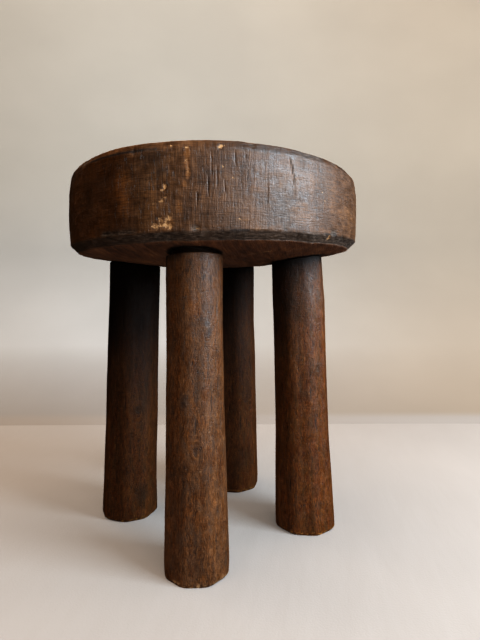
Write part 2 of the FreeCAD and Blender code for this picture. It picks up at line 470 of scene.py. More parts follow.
# Chips that show pale wood: angle, height, half width, half height and depth in mm, paleness.
# The chip at -92.6, 346.6 is a painted highlight on the rim's worn edge, over a shallow dent.
SIDE_CHIPS = (
    (-94.3, 317, 2.3, 1.9, 0.8, 1.0), (-95.0, 315, 2.0, 0.9, 0.5, 0.8),
    (-95.3, 307, 2.8, 1.1, 0.5, 0.85), (-93.8, 308.6, 1.9, 0.8, 0.4, 0.65),
    (-97.4, 304.4, 2.2, 0.9, 0.4, 0.40), (-92.7, 288, 3.2, 2.2, 0.7, 0.95),
    (-94.6, 289.4, 3.2, 2.0, 0.6, 0.80), (-92.9, 293.2, 2.6, 1.8, 0.5, 0.75),
    (-97.3, 288.2, 3.8, 2.4, 0.5, 0.68), (-95.6, 292.6, 2.8, 1.5, 0.4, 0.62),
    (-91.6, 296, 2.0, 0.7, 0.4, 0.60), (-86.9, 345.2, 1.8, 0.9, 0.5, 0.60),
    (-92.6, 346.6, 2.6, 0.6, 0.2, 0.70), (-87.2, 335.4, 1.4, 2.0, 0.3, 0.34),
    (-86.6, 328.4, 1.3, 2.4, 0.4, 0.42), (-76.1, 331.6, 0.8, 1.2, 0.5, 0.9),
    (-76.9, 345.6, 3.0, 1.1, 0.7, 0.65), (-71.8, 293.6, 0.8, 0.5, 0.3, 0.8),
    (-71.1, 292.4, 0.9, 0.5, 0.3, 0.9), (-70.2, 291, 0.8, 0.4, 0.3, 0.7),
    (-73.2, 322.6, 0.7, 0.9, 0.3, 0.6), (-35.6, 283.4, 1.9, 2.2, 1.0, 0.55),
    (-41.0, 318, 0.7, 0.7, 0.3, 0.7), (-39.6, 312, 0.7, 0.7, 0.3, 0.7),
    (-84.2, 285.4, 3.2, 0.8, 0.4, 0.50), (-81.5, 285.2, 2.0, 0.9, 0.4, 0.55),
    (-89.0, 290, 0.8, 1.9, 0.3, 0.50), (-122.0, 309, 0.5, 1.1, 0.3, 0.55),
    (150.0, 322, 1.8, 1.2, 0.8, 0.7), (66.0, 289, 2.8, 1.9, 0.9, 0.6),
    (20.0, 331, 1.5, 0.9, 0.6, 0.6), (112.0, 343, 2.6, 1.1, 0.9, 0.6),
)

# Scuffs on the underside: x, y, half width and half height in mm, paleness.
UNDER_SCUFFS = ((60, -82, 6.0, 2.6, 0.50), (49, -78, 8.0, 1.8, 0.42), (-38, 40, 9.0, 2.4, 0.40))

# Broad stains: angle, height, half width and half height in mm, strength. Above 0 is darker.
# The stains at -128 and -146 darken the left end, which turns from the light: painted shade.
SIDE_STAINS = (
    (-99.0, 338, 13, 6, 0.46), (-109.0, 335, 12, 8, 0.34), (-95.2, 328, 4, 4, 0.50),
    (-104.0, 292, 12, 7, 0.14), (-99.5, 312, 7, 22, -0.30), (-128.0, 318, 12, 24, 0.42),
    (-146.0, 312, 18, 30, 0.34), (-113.0, 292, 10, 6, 0.22), (-109.5, 322, 9, 18, -0.60),
    (-108.0, 302, 8, 8, -0.40), (-86.9, 341, 2.6, 4.0, -1.00), (-87.1, 334, 2.4, 4.5, -1.00),
    (-86.7, 326.5, 2.2, 4.5, -1.00), (-87.9, 318.5, 1.8, 3.0, -0.70), (-89.6, 301, 3, 7, -0.55),
    (-94.0, 290, 7, 6, -0.65), (-70.0, 298, 24, 9, -0.22), (-50.0, 300, 14, 10, -0.35),
    (-36.0, 322, 9, 14, -0.25), (60.0, 306, 30, 10, -0.30), (140.0, 326, 18, 9, 0.40),
    (170.0, 302, 22, 8, -0.30),
)

# The seat's textures: size of their features in mm along X, Y and Z, seed, octaves.
SEAT_TEXTURES = {
    "broad": ((46, 46, 34), 3, 2), "stroke drift": ((30, 30, 30), 5, 1),
    "end grain": ((1.5, 5, 24), 9, 2), "long grain": ((5, 26, 1.7), 10, 2),
    "rough chops": ((7, 7, 7), 15, 2), "bites": ((13, 13, 60), 16, 1),
    "nicks": ((9, 9, 40), 19, 1), "uneven rim": ((24, 24, 24), 20, 2),
    "top grain": ((2.4, 40, 30), 24, 2), "gouge drift": ((25, 25, 25), 26, 1),
    "under grain": ((2.2, 24, 20), 27, 2), "ragged": ((1.6, 1.6, 1.2), 33, 2),
    "splintered": ((1, 1, 2.6), 34, 1), "specks": ((2, 2, 2.4), 36, 1),
    "specked areas": ((40, 40, 30), 37, 1), "stain edges": ((6, 6, 6), 38, 3),
    "worn lip": ((9, 9, 30), 43, 2), "worn crease": ((11, 11, 30), 44, 2),
    "dark crease": ((14, 14, 30), 45, 2), "dark rim": ((10, 10, 30), 46, 2),
    "dark lip": ((12, 12, 40), 48, 2), "check drift": ((60, 34, 60), 51, 1),
    "check wobble": ((9, 8, 9), 52, 1),
}


def seat_angles():
    even = np.linspace(0.0, FULL_TURN, SEAT_COLUMNS, endpoint=False)
    angles = even - FRONT_CROWDING * np.sin(even + math.pi / 2.0)
    degrees = np.degrees(angles)
    check_columns = [int(np.argmin(np.abs(turn_gap(degrees, c[0])))) for c in SIDE_CHECKS]
    for at in check_columns:
        angles[at - 1] = angles[at] - CHECK_HALF / SEAT_R
        angles[(at + 1) % SEAT_COLUMNS] = angles[at] + CHECK_HALF / SEAT_R
    return angles, check_columns


def swayed(out, z, amount):
    """The columns' directions at the heights z, swayed a little as the wood's layers are."""
    place = out * SEAT_R
    place[:, 2] = z
    sway = 0.9 * MM * noise(place, (16, 16, 26), 61) + 0.35 * MM * noise(place, (7, 7, 7), 62)
    x, y = turned(out[:, 0], out[:, 1], sway * amount / SEAT_R)
    return np.stack([x, y, np.zeros(len(out))], 1)


def disc(edge_ring, height):
    """Rings from the edge to the middle, thinned out towards the middle."""
    rings, done = [], 1.0
    for step, end, rows in THINNING:
        for share in np.linspace(done, end, rows + 1)[1:]:
            ring = edge_ring[::step] * share
            ring[:, 2] = height(ring)
            rings.append(ring)
        done = end
    return rings


def top_height(ring):
    """The height of the stool's top at the ring's points."""
    return look_down(ring)[:, 2]


def under_height(ring):
    """The height of the fitted underside at the ring's points."""
    return height_on(UNDER_FIT, ring[:, 0], ring[:, 1])


def seat_rings():
    """Rings over the whole seat, from the middle of the top to the middle of the underside,
    and the column that each point stands in, or -1 off the wall."""
    angles = seat_angles()[0]
    out = directions(angles)
    middle, rise_x, rise_y = rim_plane(angles)
    rise = rise_x * out[:, 0] + rise_y * out[:, 1]
    high = middle + SEAT_R * RIM_SHARE * rise - RIM_INSET
    low = under_height(out * SEAT_R * UNDER_SHARE) + UNDER_INSET

    # Levels down the wall, closest at the worn top edge and at the lower chamfer.
    crease = CREASE_DROP / np.mean(high - low)
    chamfer = 1.0 - CHAMFER_RISE / np.mean(high - low)
    levels = np.concatenate([
        crease * np.linspace(0.0, 1.0, EDGE_RINGS, endpoint=False) ** 1.4,
        np.linspace(crease, chamfer, SIDE_RINGS, endpoint=False),
        np.linspace(chamfer, 1.0, CHAMFER_RINGS),
    ])
    wall = []
    for level in levels:
        z = high + (low - high) * level
        sway = smooth_step(0.0, crease, level) * smooth_step(1.0, chamfer, level)
        ring_out = swayed(out, z, sway)
        start = ring_out * SEAT_R * 1.5
        start[:, 2] = z
        hits = cast(SEAT_TREE, start, -ring_out)
        missing = np.isnan(hits[:, 0])
        if missing.any():
            hits[missing] = wall[-1][missing]
        wall.append(hits)

    top = disc(wall[0], top_height)[::-1]
    under = disc(wall[-1], under_height)
    column = [np.full(1 + sum(len(ring) for ring in top), -1)]
    column += [np.arange(SEAT_COLUMNS)] * len(wall)
    column.append(np.full(sum(len(ring) for ring in under) + 1, -1))
    return top + wall + under, np.concatenate(column)


class SeatSkin(Skin):
    """The seat's points, with shares from 0 to 1 of the parts they lie on."""

    def __init__(self, mesh):
        super().__init__(mesh, SEAT_TEXTURES)
        self.out = self.r / SEAT_R
        self.wall = smooth_step(0.55, 0.25, np.abs(self.up))
        self.on_side = self.out > 0.8
        self.upper = (self.up > 0.5) & (self.z > TOP_ABOVE)
        self.lower = self.up < -0.5
        self.edge = smooth_step(0.94, 0.96, self.out)
        self.rim = smooth_step(0.93, 0.97, self.out) * smooth_step(0.3415, 0.3445, self.z)
        self.over_chamfer = self.z - under_height(self.co * 0.94) - CHAMFER_RISE
        self.chamfer = smooth_step(1.2 * MM, -1.0 * MM, self.over_chamfer)
        self.chamfer *= smooth_step(0.90, 0.95, self.out)
        self.end_grain = np.abs(np.sin(np.radians(self.theta)))
        self.stain_and_shade = np.zeros(len(self.z))


def hew_seat(seat):
    """The marks of the tools that shaped each part, and the fibres they left."""
    arc = np.radians(seat.theta) * SEAT_R
    girth = FULL_TURN * SEAT_R
    seat.depth += 0.50 * MM * seat.noise("broad")
    strokes = scoops("stroke", arc, seat.z + 6.0 * MM * seat.noise("stroke drift"), girth)
    seat.depth += seat.wall * scooped("stroke", strokes)
    seat.depth += seat.wall * 0.07 * MM * seat.noise("end grain") * seat.end_grain
    seat.depth += seat.wall * 0.10 * MM * seat.noise("long grain") * (1.0 - seat.end_grain)

    # The lower chamfer was chopped in short flats, and its upper edge wanders.
    chops = scooped("chop", scoops("chop", arc, seat.z, girth))
    seat.depth += seat.chamfer * (chops + 0.5 * MM * seat.noise("rough chops"))
    bites = seat.where("bites", 0.30, 0.75)
    edge_line = bump_at(seat.over_chamfer - 0.8 * MM, 3.2 * MM) * seat.wall
    seat.depth -= edge_line * bites * 1.5 * MM

    # The rim is rubbed round, with small nicks.
    nicks = seat.where("nicks", 0.42, 0.80)
    seat.depth -= seat.rim * (0.9 * MM * nicks + 0.45 * MM * seat.noise("uneven rim"))

    # The top is scraped smooth, and the underside is left in scoops.
    scrapes = scooped("scrape", scoops("scrape", seat.x, seat.y))
    seat.depth += seat.upper * (scrapes + 0.16 * MM * seat.noise("top grain"))
    gouges = scoops("gouge", seat.x + 4.0 * MM * seat.noise("gouge drift"), seat.y)
    seat.depth += seat.lower * (scooped("gouge", gouges) + 0.22 * MM * seat.noise("under grain"))


def crack_seat(seat, column):
    """Cuts the side's drying checks down their columns, and the top's along the grain."""
    for at, (_, high, low, deep) in zip(seat_angles()[1], SIDE_CHECKS):
        shade = min(0.45 + 0.40 * deep, 1.0)
        along = tapered((seat.z / MM - low) / (high - low))
        for step, cut, dark in ((0, 0.42, 1.0), (-1, 0.05, 0.35), (1, 0.05, 0.35)):
            line = along * (column == (at + step) % SEAT_COLUMNS)
            seat.depth -= deep * cut * line * MM
            seat.mark("crack_and_shade", dark * shade * line)

    wander = 1.6 * seat.noise("check drift") + 0.5 * seat.noise("check wobble")
    for x, start, end, width, deep in TOP_CHECKS:
        taper = tapered((seat.y / MM - start) / (end - start))
        cut = bump_at(seat.x / MM + wander - x, width * (0.4 + 0.6 * taper)) * taper * seat.upper
        seat.depth -= cut * deep * MM
        seat.mark("crack_and_shade", cut)


def chip_seat(seat):
    """Breaks the chips out of the side and marks the pale scuffs and specks."""
    ragged = 0.75 * seat.noise("ragged") + 0.30 * seat.noise("splintered")
    for angle, height, wide, tall, deep, paleness in SIDE_CHIPS:
        far = seat.near(angle, height, wide, tall, SEAT_R) + ragged
        chip = smooth_step(1.25, 0.55, far) * seat.on_side
        seat.depth -= chip * deep * MM
        seat.mark("pale", chip * paleness)
    for x, y, wide, tall, paleness in UNDER_SCUFFS:
        far = np.hypot((seat.x / MM - x) / wide, (seat.y / MM - y) / tall) + ragged
        seat.mark("pale", seat.lower * paleness * smooth_step(1.3, 0.3, far))
    specks = seat.where("specks", 0.84, 0.93) * (seat.noise("specked areas") > 0.05)
    seat.mark("pale", 0.22 * specks * seat.wall)


def stain_and_shade_seat(seat):
    """Stains the side and paints shade on its left end, darkens the rim at the right front, and
    paints shade on the chamfer where it turns from the light.
    """
    blur = 0.32 * seat.noise("stain edges")
    for angle, height, wide, tall, strength in SIDE_STAINS:
        far = seat.near(angle, height, wide, tall, SEAT_R) + blur
        seat.stain_and_shade += strength * smooth_step(1.35, 0.35, far) * seat.on_side
    theta = seat.theta
    seat.dark_rim = seat.rim * smooth_step(-84.0, -66.0, theta) * smooth_step(10.0, -15.0, theta)
    seat.stain_and_shade += 0.75 * seat.dark_rim * seat.where("dark rim", -0.7, 0.1)
    # The chamfer is painted darker where it turns from the light, painted shade, and dustier grey
    # where the light falls.
    lit = smooth_step(-128.0, -92.0, theta) + smooth_step(-150.0, -170.0, theta)
    lit = np.clip(lit, 0.0, 1.0)
    seat.stain_and_shade += 0.70 * seat.chamfer * (1.0 - lit)
    seat.mark("hollow", 0.85 * seat.chamfer * (0.20 + 0.80 * lit))
    # Painted shade makes the left end redder, and a painted sheen makes a band at -98.5 greyer and
    # bluer.
    ruddy = smooth_step(-103.0, -113.0, theta) * smooth_step(-176.0, -140.0, theta)
    sheen_band = bump_at(turn_gap(theta, -98.5), 6.5)
    seat.mark("hue", 0.25 + seat.wall * (0.75 * ruddy - 0.25 * sheen_band))


def wear_and_shade_seat(seat):
    """Rubs the edges, darkens the chamfer's lip, and paints shade into the crease under the worn
    top edge at the left.
    """
    lip = bump_at(seat.over_chamfer - 0.3 * MM, 1.4 * MM) * seat.edge
    lip *= seat.where("dark lip", -0.35, 0.25)
    seat.mark("crack_and_shade", 0.75 * lip * smooth_step(-100.0, -84.0, seat.theta))
    worn = 0.75 * bump_at(seat.over_chamfer - 2.4 * MM, 1.4 * MM) * seat.wall
    seat.mark("worn", worn * seat.where("worn lip", -0.15, 0.45))

    middle, rise_x, rise_y = RIM_PLANE
    scale = SEAT_R * RIM_SHARE / np.maximum(seat.r, 1e-6)
    from_crease = seat.z - (middle + (rise_x * seat.x + rise_y * seat.y) * scale - CREASE_DROP)
    # At the left the crease gets a shallow groove painted black: painted shade.
    shady = smooth_step(26.0, 12.0, np.abs(turn_gap(seat.theta, -112.0)))
    shady *= seat.where("dark crease", -0.8, 0.0)
    groove = bump_at(from_crease, 1.15 * MM) * seat.edge * shady
    seat.depth -= 0.40 * MM * groove
    seat.mark("crack_and_shade", 0.9 * groove)
    rub = bump_at(from_crease, 1.7 * MM) * seat.edge
    rub *= (1.0 - shady) * (1.0 - 0.85 * seat.dark_rim)
    seat.mark("worn", 0.8 * rub * seat.where("worn crease", -0.2, 0.5))
    top_wear = 0.55 * seat.upper * smooth_step(0.25, 0.85, seat.out)
    seat.mark("worn", top_wear * (1.0 - seat.dark_rim))


def open_sockets(seat):
    """Sinks the recess round each tenon's end and draws the nearest points onto its mouth, so
    that it is round. The seams round the tenons' ends are dark, and the underside round
    each leg is darkened with painted shade."""
    for leg in LEGS.values():
        x, y = leg.line(seat_low.z)
        # Painted shade on the underside round each leg.
        reach = 0.025 if leg.name == "front" else 0.033
        shade = smooth_step(reach, 0.022, np.hypot(seat.x - x, seat.y - y))
        seat.mark("seam_and_shade", seat.lower * shade)
        x, y = leg.line(seat_high.z)
        away = np.stack([seat.x - x, seat.y - y], 1)
        r = np.hypot(away[:, 0], away[:, 1])
        seat.depth[seat.upper & (r < MOUTH_R - 0.1 * MM)] = -RECESS_DEPTH
        seat.mark("seam_and_shade", seat.upper * bump_at(r - MOUTH_R, 1.1 * MM))
        near = seat.upper & (np.abs(r - MOUTH_R) < MOUTH_REACH)
        seat.co[near, :2] += away[near] * ((MOUTH_R / r[near]) - 1.0)[:, None]


def seat_mesh():
    """The seat with its tool marks, checks, chips, worn edges and sockets."""
    rings, column = seat_rings()
    seat = SeatSkin(mesh_from_rings("seat_body", rings))
    hew_seat(seat)
    crack_seat(seat, column)
    chip_seat(seat)
    stain_and_shade_seat(seat)
    wear_and_shade_seat(seat)
    open_sockets(seat)
    seat.mark("stain_and_shade", seat.stain_and_shade)
    seat.mark("warm", -seat.stain_and_shade)
    seat.mark("hollow", smooth_step(0.1, -0.75, seat.depth / MM))
    seat.mark("across", seat.wall * seat.end_grain ** 2)
    seat.mark("under", smooth_step(-0.76, -0.93, seat.up))
    seat.mark("top", smooth_step(0.90, 0.98, seat.up) * (seat.z > TOP_ABOVE))
    return seat.finish()


# ---- building the legs

# Knots in each leg: angle, height, size in mm, how dark.
KNOTS = {
    "front": ((-52, 206, 3.0, 0.30), (-74, 112, 3.2, 0.30), (-100, 147, 1.8, 0.80),
              (-84, 232, 2.0, 0.15), (-60, 160, 1.6, 0.25), (120, 180, 3.0, 0.70)),
    "left": ((-56, 119, 3.4, 0.60), (-40, 205, 2.0, 0.20), (100, 90, 3.0, 0.70)),
    "right": ((-49, 163, 2.4, 0.55), (-78, 138, 2.6, 0.40), (-100, 228, 2.4, 0.55),
              (70, 150, 3.0, 0.70)),
    "back": ((-48, 111, 2.4, 0.40), (60, 200, 3.2, 0.70), (150, 90, 2.6, 0.50)),
}

# Dark smudges on each leg: angle, height, half width and half height in mm, strength.
SMUDGES = {
    "front": ((-47, 207, 3.2, 5.5, 0.70), (-54, 213, 4, 2.8, 0.70), (-66, 216.5, 6, 2.2, 0.60),
              (-80, 213, 5, 2.4, 0.40), (-80, 22, 6, 15, 0.28), (-100, 152, 3.5, 9, 0.60),
              (-101, 200, 3, 16, 0.40), (-30, 18, 8, 12, 0.35), (-72, 100, 9, 9, 0.10),
              (-38, 60, 4, 5, 0.35), (-60, 250, 2, 2.4, 0.80), (-84, 262, 1.8, 2.6, 0.85),
              (-90, 256, 1.6, 2, 0.75), (-20, 258, 1.6, 2.4, 0.75), (120, 120, 9, 20, 0.40)),
    "left": ((-56, 119, 6, 9, 0.55), (-46, 26, 10, 16, 0.60), (-100, 60, 6, 22, 0.25),
             (90, 100, 8, 18, 0.40)),
    "right": ((-47, 163, 3.5, 9, 0.55), (-76, 138, 5, 6, 0.35), (-110, 226, 6, 14, 0.50),
              (-60, 30, 6, 6, 0.35), (-64, 46, 9, 6, 0.25), (-80, 8, 12, 5, 0.30),
              (80, 80, 9, 18, 0.40)),
    "back": ((-60, 40, 8, 14, 0.40), (-40, 120, 6, 12, 0.35), (90, 160, 8, 16, 0.45)),
}

# How far the shoulder hangs below the seat, in mm: least, most, and where it is most.
SHOULDER_GAPS = {
    "front": (2.4, 4.8, -108.0),
    "left": (0.1, 0.2, -80.0),
    "right": (0.1, 0.4, -120.0),
    "back": (0.1, 0.2, 20.0),
}

# Unevenness of each leg's outline as seen from the front: heights in metres, and how far its
# left side and its right side swell there, in mm.
SWELLS = {
    "front": ((0, 0.07, 0.10, 0.15, 0.20), (-0.7, -0.8, 0.1, 0.6, 0.6), (0.7, 0.5, 0.4, -0.4, 0.1)),
    "left": ((0, 0.04, 0.10, 0.18, 0.25), (0.9, 0.7, 0.4, 1.3, 0.3), (1.2, 0.1, 0.0, 0.2, 0.0)),
    "right": ((0, 0.06, 0.12, 0.19, 0.23, 0.245, 0.27), (1.6, 1.6, 1.4, 1.0, 0.8, 0.6, 0.5),
              (0.5, 0.6, 0.9, 1.1, 1.3, 0.2, -0.5)),
    "back": ((0, 0.07, 0.16, 0.20, 0.25), (0.4, 0.4, 0.4, 0.4, 0.4), (0.4, 0.4, 1.5, 0.9, 1.9)),
}

# Painted shade, darkest out of the light under the seat: heights in metres, and strengths.
SHADE_UNDER_SEAT = {
    "front": ((0, 0.26, 0.275), (0.0, 0.0, 0.3)),
    "left": ((0, 0.10, 0.17, 0.225, 0.25), (0.38, 0.48, 0.72, 0.96, 1.00)),
    "right": ((0, 0.16, 0.21, 0.255, 0.275), (0.05, 0.08, 0.25, 0.50, 0.80)),
    "back": ((0, 0.10, 0.17, 0.23, 0.25), (0.32, 0.34, 0.58, 0.90, 0.99)),
}
# How much more of the painted shade lies on a leg's left side, higher up, and how red the leg's
# wood is.
SHADY = {"front": 0.08, "left": 0.10, "right": 0.40, "back": 0.24}
RUDDY = {"front": 0.0, "left": 0.95, "right": 1.0, "back": 0.9}

# The legs' textures: size of their features in mm along X, Y and Z, seed, octaves.
LEG_TEXTURES = {
    "drift": ((40, 40, 70), 1, 1), "broad": ((30, 30, 55), 3, 2),
    "ridges": ((2.2, 2.2, 16), 4, 2), "rough": ((1.6, 1.6, 3), 5, 2),
    "splinters": ((4.2, 4.2, 6), 7, 2), "knot edges": ((1.6, 1.6, 2.2), 8, 1),
    "smudge edges": ((5, 5, 9), 9, 3), "smudged": ((7, 7, 18), 10, 3),
    "check wobble": ((6, 6, 10), 11, 1), "rough end": ((1.4, 1.4, 1.4), 12, 2),
    "swirl": ((16, 16, 30), 13, 2), "broken edge": ((2.6, 2.6, 2), 14, 2),
    "specks": ((2, 2, 2.8), 15, 1), "grime edges": ((22, 22, 40), 16, 2),
}


def tenon_end_height(leg, out):
    """Height of the tenon's end, which follows the hollowed top and stands a little proud."""
    x, y = leg.line(seat_high.z)
    return height_on(TOP_FIT, x + TENON_R * out[:, 0], y + TENON_R * out[:, 1]) + TENON_PROUD


class LegRings:
    """Rings from the middle of the foot, up the leg and the tenon, to the middle of its end."""

    def __init__(self, leg):
        self.leg = leg
        self.angles = np.linspace(0.0, FULL_TURN, LEG_COLUMNS, endpoint=False)
        self.out = directions(self.angles)
        self.reach = np.full(LEG_COLUMNS, FIRST_R)
        self.neck_z = self.under_seat(TENON_R)
        least, most, where = SHOULDER_GAPS[leg.name]
        facing = 0.5 + 0.5 * np.cos(self.angles - math.radians(where))
        gap = (least + (most - least) * facing ** 1.5) * MM
        self.crown = self.under_seat(SHOULDER_R) - gap
        self.rings = [*self.foot(), *self.shaft(), *self.shoulder(), *self.tenon()]

    def under_seat(self, radius):
        """Heights of the seat's underside on a circle round the leg."""
        x, y = self.leg.line(self.leg.top[2])
        return height_on(UNDER_FIT, x + radius * self.out[:, 0], y + radius * self.out[:, 1])

    def around(self, z, radius):
        """A ring of the given radius about the leg's line at the heights z."""
        z = np.broadcast_to(z, LEG_COLUMNS)
        x, y = self.leg.line(z)
        return np.stack([x, y, z], 1) + self.out * np.broadcast_to(radius, LEG_COLUMNS)[:, None]

    def on_leg(self, z, inset=0.0):
        """A ring on the CAD leg's surface at the heights z."""
        hits = cast(self.leg.tree, self.around(z, LEG_RAY), -self.out)
        reach = np.linalg.norm(hits - self.around(z, 0.0), axis=1)
        plain = (reach > NECK_R + 1.0 * MM) & (z < SHAFT_TOP)
        self.reach = np.where(plain, reach, self.reach)
        return self.around(z, self.reach - inset)

    def foot(self):
        """The flat sole and its slightly rounded edge."""
        sole = self.on_leg(SOLE_READ)
        centre = np.array([self.leg.foot[0], self.leg.foot[1], 0.0])
        for share in SOLE_SHARES:
            ring = centre + (sole - centre) * share
            ring[:, 2] = 0.0
            yield ring
        for z, inset in ((0.0, 0.8 * MM), (SOLE_TOP, 0.3 * MM)):
            ring = self.on_leg(SOLE_READ, inset)
            ring[:, 2] = z
            yield ring

    def shaft(self):
        """Level rings up the leg, then rings that tilt to follow the seat's underside."""
        level = float(np.min(self.crown)) - SHOULDER_SKEW
        for z in np.arange(1.0 * MM, level, LEG_RING_STEP):
            yield self.on_leg(z)
        for share in np.linspace(0.0, 1.0, SKEW_RINGS):
            yield self.on_leg(level + (self.crown - SHOULDER_DEPTH - level) * share)

    def shoulder(self):
        """The rounded shoulder, in to the neck."""
        shoulder = self.crown - SHOULDER_DEPTH
        for turn in np.linspace(0.12, 1.0, SHOULDER_RINGS) * math.pi / 2.0:
            z = shoulder + (self.crown - shoulder) * math.sin(turn)
            pull = (1.0 - math.cos(turn)) ** 1.8
            reach = self.reach - (self.reach - NECK_R - 1.0 * MM) * pull
            yield self.around(z, reach)
        yield self.around(self.crown + 0.1 * MM, NECK_R)
        for lift in (1.2, 3.0, 6.0):
            yield self.around(self.neck_z + lift * MM, NECK_R - 0.2 * MM * lift / 6.0)

    def tenon(self):
        """The round tenon and its end, which has a small rounded edge."""
        end = tenon_end_height(self.leg, self.out)
        low = float(np.max(self.neck_z)) + 7.5 * MM
        for share in np.linspace(0.0, 1.0, TENON_RINGS):
            yield self.around(low + (end - 1.0 * MM - low) * share, TENON_R)
        yield self.around(end - 0.35 * MM, TENON_R - 0.08 * MM)
        yield self.around(end, TENON_R - 0.45 * MM)
        for share in np.linspace(0.955, 0.04, END_RINGS):
            ring = self.around(end, TENON_R * share)
            ring[:, 2] = tenon_end_height(self.leg, self.out * share)
            yield ring


class LegSkin(Skin):
    """A leg's points, with shares from 0 to 1 of the parts they lie on."""

    def __init__(self, leg):
        mesh = mesh_from_rings("leg_" + leg.name + "_body", LegRings(leg).rings)
        seed = 100 + 31 * LEG_NAMES.index(leg.name)
        super().__init__(mesh, LEG_TEXTURES, seed, leg.line)
        self.leg = leg
        self.over_seam = self.z - under_height(self.co)
        self.shaft = smooth_step(0.2 * MM, -2.0 * MM, self.over_seam)
        self.shaft *= smooth_step(0.5, 0.2, np.abs(self.up)) * (self.r > NECK_R + 0.5 * MM)
        self.sole = self.z < SOLE_TOP
        self.foot_edge = smooth_step(5.0 * MM, 0.5 * MM, self.z) * ~self.sole
        self.end = (self.z > END_ABOVE) & (self.up > 0.3)
        # 1 towards the viewer's right, and -1 towards the left.
        ahead_x, ahead_y = CAMERA_PLACE[0] - leg.foot[0], CAMERA_PLACE[1] - leg.foot[1]
        from_front = np.radians(turn_gap(self.theta, math.degrees(math.atan2(ahead_y, ahead_x))))
        self.side = np.sin(from_front)
        self.front = np.cos(from_front)


def hew_leg(skin):
    """Long hewn flats, the uneven outline, and the foot's flats and splinters."""
    drift = 10.0 * MM * skin.noise("drift")
    girth = FULL_TURN * MEAN_R
    arc = np.radians(skin.theta) * MEAN_R
    flats = scoops("flat", arc + drift * 0.3, skin.z + drift, girth, skin.seed)
    relief = scooped("flat", flats)
    for texture, deep in (("broad", 0.40), ("ridges", 0.10), ("rough", 0.07)):
        relief += deep * MM * skin.noise(texture)
    heights, left, right = SWELLS[skin.leg.name]
    right_swell, left_swell = np.interp(skin.z, heights, right), np.interp(skin.z, heights, left)
    swell = np.where(skin.side > 0.0, right_swell, left_swell)
    relief += swell * MM * (0.15 + 0.85 * np.abs(skin.side))
    skin.depth += skin.shaft * relief
    skin.mark("worn", smooth_step(0.52, 0.80, flats) * skin.shaft)

    low = smooth_step(16.0 * MM, 1.0 * MM, skin.z) * ~skin.sole
    chops = scooped("foot", scoops("foot", arc, skin.z * 0.0 + 0.5, girth, skin.seed))
    skin.depth += low * np.minimum(chops, 0.0)
    splinters = skin.where("splinters", 0.25, 0.75)
    skin.depth -= skin.foot_edge * splinters * 1.5 * MM
    skin.mark("pale", 0.75 * skin.foot_edge * skin.where("broken edge", 0.06, 0.42)
              + 0.25 * skin.where("specks", 0.88, 0.95) * skin.shaft)


def knot_leg(skin):
    """Knots that stand out around a sunken heart, and dark smudges."""
    knot_edges = 0.25 * skin.noise("knot edges")
    for angle, height, size, strength in KNOTS[skin.leg.name]:
        far = skin.near(angle, height, size, size / 0.75, skin.r)
        heart = smooth_step(1.25, 0.45, far + knot_edges)
        skin.depth += skin.shaft * (0.45 * MM * bump_at(far, 1.7) - 0.55 * MM * heart * strength)
        skin.mark("dark", heart * strength)
    blur = 0.35 * skin.noise("smudge edges")
    for angle, height, wide, tall, strength in SMUDGES[skin.leg.name]:
        far = skin.near(angle, height, wide, tall, skin.r) + blur
        skin.mark("dark", strength * smooth_step(1.3, 0.3, far))
    skin.mark("dark", 0.35 * skin.where("smudged", 0.35, 0.75))


def crack_leg(skin, rng):
    """Short drying checks up the leg."""
    wobble = 0.5 * skin.noise("check wobble")
    for _ in range(LEG_CHECKS):
        angle, start, length, width, deep = (rng.uniform(*ends) for ends in LEG_CHECK_RANGES)
        taper = tapered((skin.z / MM - start) / length)
        cut = bump_at(skin.across(angle, MEAN_R) + wobble, width) * taper * skin.shaft
        skin.depth -= cut * deep * MM
        skin.mark("crack_and_shade", 0.8 * cut)


def cut_tenon_end(skin, rng):
    """The kerf that the wedge fills, and checks that run out from the middle."""
    kerf = skin.end & (np.abs(skin.y) < KERF_HALF) & (skin.r < TENON_R - 0.2 * MM)
    skin.depth += skin.end * 0.12 * MM * skin.noise("rough end")
    skin.depth[kerf] = -KERF_DEPTH
    near = skin.end & (np.abs(np.abs(skin.y) - KERF_HALF) < 0.35 * MM)
    skin.co[near, 1] = skin.middle[1][near] + np.sign(skin.y[near]) * KERF_HALF
    r = skin.r / MM
    reach = smooth_step(0.0, 6.0, r) * smooth_step(17.5, 12.0, r) * skin.end
    for angle in rng.uniform(0.0, 360.0, END_CHECKS):
        cut = bump_at(skin.across(angle, skin.r), 0.35) * reach
        skin.depth -= cut * 0.5 * MM
        skin.mark("crack_and_shade", cut)


def soil_and_shade_leg(skin):
    """Dark seams, and painted shade under the seat that is weakest on the sides out of sight."""
    name = skin.leg.name
    # A band of painted shade at the leg's top under the seat, longer on the front leg's left.
    shadow = (5.0 + 13.0 * smooth_step(0.1, -0.9, skin.side) if name == "front" else 11.0) * MM
    seam_and_shade = smooth_step(0.0, 1.0, (skin.over_seam + shadow) / (shadow - 1.5 * MM))
    neck = (skin.r < NECK_R + 0.9 * MM) & (skin.over_seam < 6.0 * MM)
    below = skin.over_seam < 4.0 * MM
    end_edge = skin.end * smooth_step(16.6 * MM, 17.8 * MM, skin.r)
    skin.mark("seam_and_shade", seam_and_shade * below + neck + end_edge)
    # Painted shade: darker towards the seat and on the leg's left, weaker on the sides turned from
    # the camera.
    painted_shade = np.interp(skin.z + 30.0 * MM * skin.noise("grime edges"), *SHADE_UNDER_SEAT[name])
    painted_shade -= SHADY[name] * skin.side * smooth_step(0.12, 0.21, skin.z)
    painted_shade *= 0.40 + 0.60 * smooth_step(-1.0, 0.0, skin.front)
    skin.mark("painted_shade", painted_shade * below)


